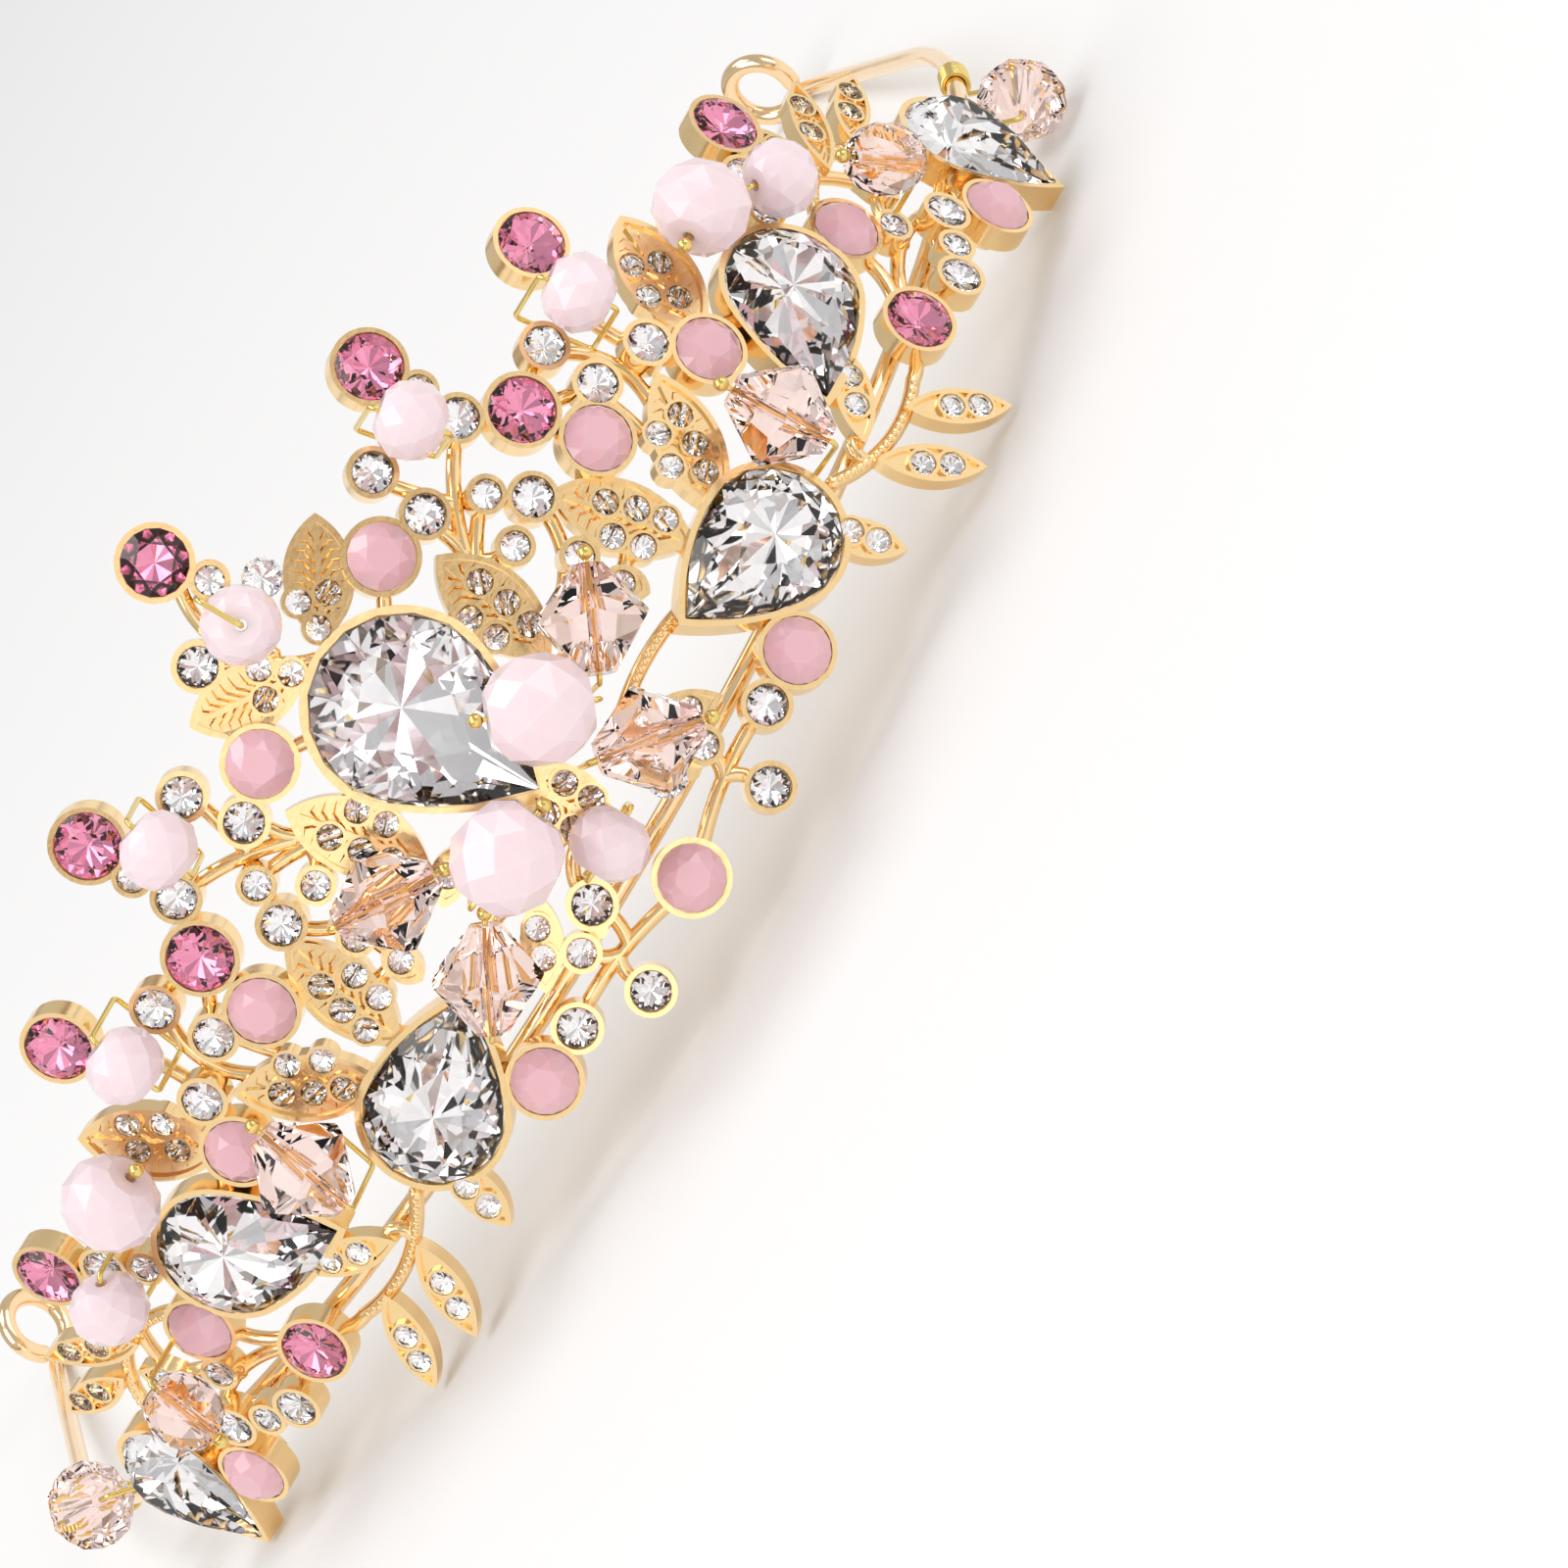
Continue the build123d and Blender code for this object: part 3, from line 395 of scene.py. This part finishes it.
VEIN_SPAN = (0.14, 0.74)  # the first and last vein's start, as shares of the leaf's length
VEIN_REACH = 0.40         # the longest vein's reach across, as a share of the leaf's width
LEAF_WIDEST = 0.41        # where the veins reach furthest, as a share of the leaf's length
VEIN_SLANT = 0.75         # run along the leaf for each mm across
VEIN_BOW = 0.06           # how far a vein's middle bows towards the tip, as a share of the leaf's length
VEIN_TAPER = (1.0, 0.8, 0.15)
MM_PER_DEGREE = 1.07      # along the band at the panel
CUP_BALL = 0.78           # radius of the ball behind a cup, as a share of its stone's
CUP_BALL_DEPTH = 1.9 * MM  # how far the ball's middle is behind the stone's rim
CUP_BALL_FRONT = 0.12     # the ball is cut flat this far before its middle, inside the cup's floor
CUP_BALL_RINGS = 7
CUP_BALL_SIDES = 24       # every second one is a flute
LEAF_BALL = 0.62 * MM     # radius of the ball behind a leaf stone
LEAF_BALL_DEPTH = 1.5 * MM
FLUTE_DEPTH = 0.95        # radius in a flute, as a share of the ball's
BAND_ROOM = 0.9 * MM      # balls keep this clear of the band's own height


def ball_shape(rings=5, sides=8):
    """A low ball of radius 1: rings of latitude between two poles."""
    latitude = np.pi * (np.arange(1, rings) / rings - 0.5)
    turn = np.arange(sides) * 2 * np.pi / sides
    body = np.stack([np.cos(latitude)[:, None] * np.cos(turn), np.cos(latitude)[:, None] * np.sin(turn),
                     np.sin(latitude)[:, None] + 0 * turn], 2).reshape(-1, 3)
    vertices = np.concatenate([body, [[0, 0, -1], [0, 0, 1]]])
    i = np.arange(sides)
    j = (i + 1) % sides
    low, high = len(body), len(body) + 1
    faces = [np.stack([0 * i + low, j, i], 1)]
    for ring in range(rings - 2):
        a, b = ring * sides, (ring + 1) * sides
        faces += [np.stack([a + i, a + j, b + j], 1), np.stack([a + i, b + j, b + i], 1)]
    last = (rings - 2) * sides
    return vertices, np.concatenate(faces + [np.stack([last + i, last + j, 0 * i + high], 1)])


def grains(side):
    """Balls in a row along each grained vine, on a curve through its three places."""
    ball, ball_faces = ball_shape()
    parts = []
    for start, middle, end in GRAIN_VINES:
        a, b, c = np.array([start, middle, end], float)
        length = np.hypot((c - a)[0] * MM_PER_DEGREE, (c - a)[1])
        t = np.linspace(0.04, 0.96, int(length / GRAIN_STEP))[:, None]
        places = a * (1 - t) * (1 - 2 * t) + b * 4 * t * (1 - t) + c * t * (2 * t - 1)
        centres = panel(side * places[:, 0], places[:, 1], np.full(len(t), GRAIN_OUT))
        vertices = (centres[:, None] + ball * GRAIN_SIZE * MM).reshape(-1, 3)
        faces = (np.arange(len(t))[:, None, None] * len(ball) + ball_faces).reshape(-1, 3)
        parts.append((vertices, faces, np.zeros(len(faces), np.int32)))
    return gathered(parts)


def cup_backs(word):
    """A fluted ball behind each cup and a plain one behind each leaf stone, half sunk in the casting."""
    parts = []
    for name in sorted(NODES):
        if not name.startswith(("rose", "opals", "chatons", "leaf_stones")):
            continue
        if word not in name and not (word == "centre" and name == "rose_apex"):
            continue
        small = name.startswith("leaf")
        ball, faces = ball_shape(CUP_BALL_RINGS, CUP_BALL_SIDES)
        ball[:, 2] = np.minimum(ball[:, 2], CUP_BALL_FRONT)
        if not small:
            flute = np.where(np.arange(CUP_BALL_SIDES) % 2, FLUTE_DEPTH, 1.0)
            ball[:-2, :2] *= np.tile(flute, CUP_BALL_RINGS - 1)[:, None]
        for points in solids(name):
            axes, rim, radius, _, _ = round_place(points)
            depth, size = (LEAF_BALL_DEPTH, LEAF_BALL) if small else (CUP_BALL_DEPTH, CUP_BALL * radius)
            middle = rim @ axes - axes[2] * depth
            height = (middle - BAND_FRONT) @ BAND_Z
            if abs(height) > BAND_ROOM + size:
                parts.append((middle + (ball * size) @ axes, faces, np.zeros(len(faces), np.int32)))
    return gathered(parts)


def veins(side):
    """Slim ridges slanting from each leaf's midrib towards its edge.

    Each is a four-sided prism through three places, with its size at each from VEIN_TAPER.
    """
    parts = []
    for base, tip, width in VEINED_LEAVES:
        base, tip = np.array(base, float), np.array(tip, float)
        scale = np.array([MM_PER_DEGREE, 1.0])
        run = (tip - base) * scale
        length = np.hypot(*run)
        ahead = run / length
        across = np.array([-ahead[1], ahead[0]])
        for half in (-1, 1):
            share = np.linspace(*VEIN_SPAN, VEINS)
            room = VEIN_REACH * width * (1 - (2 * (share - LEAF_WIDEST)) ** 2)
            start = base * scale + share[:, None] * run
            end = start + ahead * VEIN_SLANT * room[:, None] + half * across * room[:, None]
            middle = (start + end) / 2 + ahead * VEIN_BOW * length
            side_step = np.stack([-(end - start)[:, 1], (end - start)[:, 0]], 1)
            side_step /= np.linalg.norm(side_step, axis=1)[:, None]
            rows = []
            for point, size in zip((start, middle, end), VEIN_TAPER):
                for offset, rise in [(-1, 0), (0, 1), (1, 0), (0, -1)]:
                    flat = (point + side_step * offset * size * VEIN_SIZE) / scale
                    rows.append(panel(side * flat[:, 0], flat[:, 1],
                                      np.full(len(flat), VEIN_OUT + rise * size * VEIN_SIZE)))
            vertices = np.stack(rows, 1).reshape(-1, 3)
            i = np.arange(4)
            j = (i + 1) % 4
            strip = [np.stack([a + i, a + j, a + 4 + j], 1) for a in (0, 4)]
            strip += [np.stack([a + i, a + 4 + j, a + 4 + i], 1) for a in (0, 4)]
            strip.append(np.array([[0, 2, 1], [0, 3, 2], [8, 9, 10], [8, 10, 11]]))
            strip = np.concatenate(strip)
            faces = (np.arange(len(share))[:, None, None] * 12 + strip).reshape(-1, 3)
            if half * side < 0:
                faces = faces[:, ::-1]
            parts.append((vertices, faces, np.zeros(len(faces), np.int32)))
    return gathered(parts)


def make_details():
    """Cast grains and veins on both sides."""
    made = [(f"cup_backs_{word}", cup_backs(word), True) for word in ("left", "centre", "right")]
    for side, word in ((1, "right"), (-1, "left")):
        made += [(f"grains_{word}", grains(side), True), (f"leaf_veins_{word}", veins(side), False)]
    for name, (vertices, faces, _), smooth in made:
        obj = piece(name, vertices, faces, [GOLD], smooth=smooth)
        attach(obj, "tiara")


def paint_cad():
    """Finishes of the CAD nodes that stay in view."""
    for name, obj in NODES.items():
        if name.startswith("casting"):
            finish = GOLD
        elif name.startswith("band"):
            finish = BAND_GOLD
        elif name.startswith(("binding", "bead_wires")):
            finish = BRASS
        else:
            continue
        obj.data.materials.clear()
        obj.data.materials.append(finish)


# The studio's sky: height of a direction above the floor and its colour, with a dark strip for contrast
SKY = [(0.0, (1.0, 0.98, 0.95)), (0.13, (1.0, 0.98, 0.95)), (0.21, (0.34, 0.25, 0.18)),
       (0.32, (0.64, 0.64, 0.64)), (0.8, (0.56, 0.56, 0.57))]
SKY_STRENGTH = 0.95
# Soft boxes: name, place, width and power in watts
LIGHTS = [("key", (-0.45, -0.45, 0.8), 0.7, 3.4), ("fill", (0.75, -0.35, 0.4), 0.5, 1.4),
          ("top", (0.0, 0.1, 0.9), 0.5, 2.2), ("low", (-0.2, -0.9, 0.12), 0.5, 0.5)]
LIT_PLACE = (0, -0.03, 0.02)
FLOOR_REACH = 3.0
CAMERA_RISE = math.radians(11.0)   # above the band's plane
CAMERA_AWAY = 0.6                  # from the front of the band
CAMERA_AIM = (8.8 * MM, -6.05 * MM)  # right of the front of the band and above it
CAMERA_ROLL = math.radians(59.6)
CAMERA_LENS = 199.8


def make_sky():
    """A soft sky whose colour changes only with height."""
    world = bpy.data.worlds.new("studio")
    world.use_nodes = True
    bpy.context.scene.world = world
    tree = world.node_tree
    background = tree.nodes["Background"]
    background.inputs["Strength"].default_value = SKY_STRENGTH
    place = tree.nodes.new("ShaderNodeTexCoord")
    split = tree.nodes.new("ShaderNodeSeparateXYZ")
    ramp = tree.nodes.new("ShaderNodeValToRGB")
    tree.links.new(place.outputs["Generated"], split.inputs["Vector"])
    tree.links.new(split.outputs["Z"], ramp.inputs["Fac"])
    tree.links.new(ramp.outputs["Color"], background.inputs["Color"])
    stops = ramp.color_ramp.elements
    for position, _ in SKY[1:-1]:
        stops.new(position)
    for stop, (position, colour) in zip(stops, SKY):
        stop.color = (*colour, 1)
        stop.position = position


def make_stage():
    """A pale floor and soft boxes."""
    reach = FLOOR_REACH
    mesh = bpy.data.meshes.new("floor")
    mesh.from_pydata([(-reach, -reach, 0), (reach, -reach, 0), (reach, reach, 0), (-reach, reach, 0)],
                     [], [(0, 1, 2, 3)])
    mesh.materials.append(material("floor_paper", Base_Color=(0.93, 0.925, 0.92, 1), Roughness=0.7))
    floor = bpy.data.objects.new("floor", mesh)
    bpy.context.scene.collection.objects.link(floor)

    for name, place, size, power in LIGHTS:
        light = bpy.data.lights.new(name, "AREA")
        light.size = size
        light.energy = power
        lamp = bpy.data.objects.new(name, light)
        lamp.location = place
        lamp.rotation_euler = (Vector(LIT_PLACE) - lamp.location).to_track_quat("-Z", "Y").to_euler()
        bpy.context.scene.collection.objects.link(lamp)


def make_camera():
    """A camera aimed at the panel and rolled about its line of sight."""
    back = Vector(BAND_Y) * math.cos(CAMERA_RISE) - Vector(BAND_Z) * math.sin(CAMERA_RISE)
    right = Vector(BAND_X)
    up = right.cross(back)
    eye = Vector(BAND_FRONT) - CAMERA_AWAY * back
    aim = Vector(BAND_FRONT) + CAMERA_AIM[0] * right + CAMERA_AIM[1] * up
    ahead = (aim - eye).normalized()
    tall = (up - up.dot(ahead) * ahead).normalized()
    wide = ahead.cross(tall)
    across = wide * math.cos(CAMERA_ROLL) - tall * math.sin(CAMERA_ROLL)
    above = wide * math.sin(CAMERA_ROLL) + tall * math.cos(CAMERA_ROLL)
    camera = bpy.data.cameras.new("camera")
    camera.lens = CAMERA_LENS
    camera.clip_start = 0.01
    view = bpy.data.objects.new("camera", camera)
    view.matrix_world = Matrix([[across[k], above[k], -ahead[k], eye[k]] for k in range(3)] + [[0, 0, 0, 1]])
    bpy.context.scene.collection.objects.link(view)
    bpy.context.scene.camera = view
    bpy.context.scene.view_settings.view_transform = "Standard"


make_stones()
make_beads()
make_details()
paint_cad()
make_sky()
make_stage()
make_camera()
